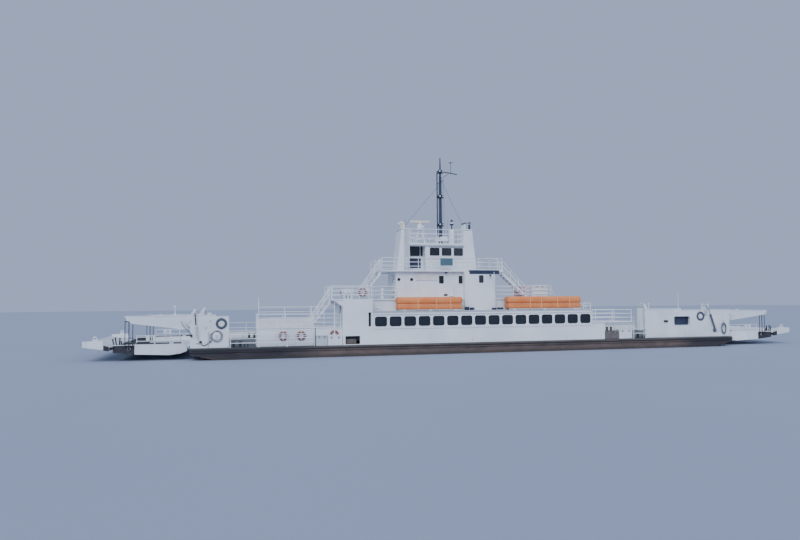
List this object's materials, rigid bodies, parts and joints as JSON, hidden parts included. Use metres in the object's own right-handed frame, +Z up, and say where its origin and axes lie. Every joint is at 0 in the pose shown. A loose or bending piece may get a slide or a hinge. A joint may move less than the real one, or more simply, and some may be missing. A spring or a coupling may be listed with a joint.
{
  "type": "double-ended passenger ferry with an open car deck, 1:10 scale model",
  "caption": "Double-ended ferry hull with an open car deck, a superstructure along one side, a bridge tower, and a folding ramp with lifting gear at each end.",
  "frame": {"origin": "amidships on the centreline at the waterline", "axes": "+X along the ship, -Y towards the side with the superstructure, +Z up"},
  "size_m": [6.44, 1.4, 2.058],
  "materials": {
    "white_paint": "satin marine enamel",
    "deck_paint": "matte non-slip deck coating",
    "hull_paint": "matte rust-brown hull coating",
    "dark_paint": "satin dark blue enamel",
    "bright_steel": "ground rod",
    "raft_case": "orange moulded casing",
    "bronze": "cast propeller bronze"
  },
  "bodies": {
    "ship": {"hull": "hull_paint", "car_deck": "deck_paint", "saloon_outer_wall": "white_paint", "saloon_inner_wall": "white_paint", "saloon_roof": "deck_paint", "platform_right": "white_paint", "stair_house": "white_paint", "upper_casing": "white_paint", "boat_deck": "white_paint", "platform_left": "white_paint", "tower": "white_paint", "annex": "white_paint", "bridge_deck": "white_paint", "wheelhouse": "white_paint", "wheelhouse_roof": "white_paint", "funnel_left": "white_paint", "funnel_right": "white_paint", "mast": "dark_paint", "radar_pedestal": "white_paint", "stair_upper_left": "white_paint", "stair_upper_right": "white_paint", "stair_lower_left": "white_paint", "rails_bridge": "white_paint", "rails_boat_deck": "white_paint", "rails_platform_left": "white_paint", "rails_deck_edge": "white_paint", "rafts_left": "raft_case", "rafts_right": "raft_case", "far_bulwark": "white_paint", "gear_wall_left": "white_paint", "gear_wall_right": "white_paint", "gear_wall_far_left": "white_paint", "gear_wall_far_right": "white_paint"},
    "radar_bar": {"radar_scanner": "white_paint"},
    "door_saloon": {"saloon_door": "white_paint"},
    "door_tower": {"tower_door": "white_paint"},
    "pod_left": {"thruster_left": "dark_paint"},
    "screw_left": {"propeller_left": "bronze"},
    "pod_right": {"thruster_right": "dark_paint"},
    "screw_right": {"propeller_right": "bronze"},
    "ramp_l": {"ramp_left": "white_paint"},
    "flap_l": {"flap_left": "white_paint"},
    "beam_l_near": {"beam_left_near": "white_paint"},
    "chain_l_near": {"chain_left_near": "dark_paint"},
    "barrel_l_near": {"barrel_left_near": "white_paint"},
    "rod_l_near": {"rod_left_near": "bright_steel"},
    "beam_l_far": {"beam_left_far": "white_paint"},
    "chain_l_far": {"chain_left_far": "dark_paint"},
    "barrel_l_far": {"barrel_left_far": "white_paint"},
    "rod_l_far": {"rod_left_far": "bright_steel"},
    "ramp_r": {"ramp_right": "white_paint"},
    "flap_r": {"flap_right": "white_paint"},
    "beam_r_near": {"beam_right_near": "white_paint"},
    "chain_r_near": {"chain_right_near": "dark_paint"},
    "barrel_r_near": {"barrel_right_near": "dark_paint"},
    "rod_r_near": {"rod_right_near": "bright_steel"},
    "beam_r_far": {"beam_right_far": "white_paint"},
    "chain_r_far": {"chain_right_far": "dark_paint"},
    "barrel_r_far": {"barrel_right_far": "dark_paint"},
    "rod_r_far": {"rod_right_far": "bright_steel"}
  },
  "joints": [
    {"name": "radar_turn", "type": "hinge", "parent": "ship", "child": "radar_bar", "pos_m": [-0.49, -0.26, 1.142], "axis": [0, 0, 1], "continuous": true},
    {"name": "saloon_door_swing", "type": "hinge", "parent": "ship", "child": "door_saloon", "pos_m": [0.235, -0.2365, 0.2], "axis": [0, 0, 1], "range_deg": [0, 110]},
    {"name": "tower_door_swing", "type": "hinge", "parent": "ship", "child": "door_tower", "pos_m": [-0.7835, -0.465, 0.56], "axis": [0, 0, 1], "range_deg": [0, 110]},
    {"name": "pod_left_steer", "type": "hinge", "parent": "ship", "child": "pod_left", "pos_m": [-1.5, 0, -0.2], "axis": [0, 0, 1], "continuous": true},
    {"name": "screw_left_spin", "type": "hinge", "parent": "pod_left", "child": "screw_left", "pos_m": [-1.58, 0, -0.235], "axis": [1, 0, 0], "continuous": true},
    {"name": "pod_right_steer", "type": "hinge", "parent": "ship", "child": "pod_right", "pos_m": [1.5, 0, -0.2], "axis": [0, 0, 1], "continuous": true},
    {"name": "screw_right_spin", "type": "hinge", "parent": "pod_right", "child": "screw_right", "pos_m": [1.58, 0, -0.235], "axis": [1, 0, 0], "continuous": true},
    {"name": "ramp_left_lift", "type": "hinge", "parent": "ship", "child": "ramp_l", "pos_m": [-2.452, 0, 0.08], "axis": [0, 1, 0], "range_deg": [-8, 20]},
    {"name": "flap_left_fold", "type": "hinge", "parent": "ramp_l", "child": "flap_l", "pos_m": [-3.02, 0, 0.1], "axis": [0, 1, 0], "range_deg": [-25, 20]},
    {"name": "beam_left_near_lift", "type": "hinge", "parent": "ship", "child": "beam_l_near", "pos_m": [-2.452, -0.6, 0.305], "axis": [0, 1, 0], "range_deg": [-8.1, 20.1]},
    {"name": "chain_left_near_swing", "type": "hinge", "parent": "beam_l_near", "child": "chain_l_near", "pos_m": [-2.89, -0.58, 0.32], "axis": [0, 1, 0], "range_deg": [-20.1, 8.1]},
    {"name": "barrel_left_near_swing", "type": "hinge", "parent": "ship", "child": "barrel_l_near", "pos_m": [-2.385, -0.681, 0.145], "axis": [0, 1, 0], "range_deg": [-2.6, 6.3]},
    {"name": "rod_left_near_slide", "type": "slide", "parent": "barrel_l_near", "child": "rod_l_near", "axis": [-0.0824, 0, 0.9966], "range_m": [-0.0211, 0.0085]},
    {"name": "beam_left_far_lift", "type": "hinge", "parent": "ship", "child": "beam_l_far", "pos_m": [-2.452, 0.6, 0.305], "axis": [0, 1, 0], "range_deg": [-8.1, 20.1]},
    {"name": "chain_left_far_swing", "type": "hinge", "parent": "beam_l_far", "child": "chain_l_far", "pos_m": [-2.89, 0.58, 0.32], "axis": [0, 1, 0], "range_deg": [-20.1, 8.1]},
    {"name": "barrel_left_far_swing", "type": "hinge", "parent": "ship", "child": "barrel_l_far", "pos_m": [-2.385, 0.681, 0.145], "axis": [0, 1, 0], "range_deg": [-2.6, 6.3]},
    {"name": "rod_left_far_slide", "type": "slide", "parent": "barrel_l_far", "child": "rod_l_far", "axis": [-0.0824, 0, 0.9966], "range_m": [-0.0211, 0.0085]},
    {"name": "ramp_right_lift", "type": "hinge", "parent": "ship", "child": "ramp_r", "pos_m": [2.452, 0, 0.08], "axis": [0, -1, 0], "range_deg": [-8, 20]},
    {"name": "flap_right_fold", "type": "hinge", "parent": "ramp_r", "child": "flap_r", "pos_m": [3.02, 0, 0.1], "axis": [0, -1, 0], "range_deg": [-25, 20]},
    {"name": "beam_right_near_lift", "type": "hinge", "parent": "ship", "child": "beam_r_near", "pos_m": [2.452, -0.6, 0.305], "axis": [0, -1, 0], "range_deg": [-8.1, 20.1]},
    {"name": "chain_right_near_swing", "type": "hinge", "parent": "beam_r_near", "child": "chain_r_near", "pos_m": [2.89, -0.58, 0.32], "axis": [0, -1, 0], "range_deg": [-20.1, 8.1]},
    {"name": "barrel_right_near_swing", "type": "hinge", "parent": "ship", "child": "barrel_r_near", "pos_m": [2.27, -0.681, 0.15], "axis": [0, -1, 0], "range_deg": [-5.7, 14]},
    {"name": "rod_right_near_slide", "type": "slide", "parent": "barrel_r_near", "child": "rod_r_near", "axis": [-0.3162, 0, 0.9487], "range_m": [-0.0794, 0.0319]},
    {"name": "beam_right_far_lift", "type": "hinge", "parent": "ship", "child": "beam_r_far", "pos_m": [2.452, 0.6, 0.305], "axis": [0, -1, 0], "range_deg": [-8.1, 20.1]},
    {"name": "chain_right_far_swing", "type": "hinge", "parent": "beam_r_far", "child": "chain_r_far", "pos_m": [2.89, 0.58, 0.32], "axis": [0, -1, 0], "range_deg": [-20.1, 8.1]},
    {"name": "barrel_right_far_swing", "type": "hinge", "parent": "ship", "child": "barrel_r_far", "pos_m": [2.385, 0.681, 0.145], "axis": [0, -1, 0], "range_deg": [-2.6, 6.3]},
    {"name": "rod_right_far_slide", "type": "slide", "parent": "barrel_r_far", "child": "rod_r_far", "axis": [0.0824, 0, 0.9966], "range_m": [-0.0211, 0.0085]}
  ],
  "couplings": [
    {"joint": "beam_left_near_lift", "follows": "ramp_left_lift", "ratio": 1},
    {"joint": "chain_left_near_swing", "follows": "ramp_left_lift", "ratio": -1},
    {"joint": "barrel_left_near_swing", "follows": "ramp_left_lift", "ratio": 0.308},
    {"joint": "rod_left_near_slide", "follows": "ramp_left_lift", "m_per_rad": -0.06},
    {"joint": "beam_left_far_lift", "follows": "ramp_left_lift", "ratio": 1},
    {"joint": "chain_left_far_swing", "follows": "ramp_left_lift", "ratio": -1},
    {"joint": "barrel_left_far_swing", "follows": "ramp_left_lift", "ratio": 0.308},
    {"joint": "rod_left_far_slide", "follows": "ramp_left_lift", "m_per_rad": -0.06},
    {"joint": "beam_right_near_lift", "follows": "ramp_right_lift", "ratio": 1},
    {"joint": "chain_right_near_swing", "follows": "ramp_right_lift", "ratio": -1},
    {"joint": "barrel_right_near_swing", "follows": "ramp_right_lift", "ratio": 0.695},
    {"joint": "rod_right_near_slide", "follows": "ramp_right_lift", "m_per_rad": -0.227},
    {"joint": "beam_right_far_lift", "follows": "ramp_right_lift", "ratio": 1},
    {"joint": "chain_right_far_swing", "follows": "ramp_right_lift", "ratio": -1},
    {"joint": "barrel_right_far_swing", "follows": "ramp_right_lift", "ratio": 0.308},
    {"joint": "rod_right_far_slide", "follows": "ramp_right_lift", "m_per_rad": -0.06}
  ]
}
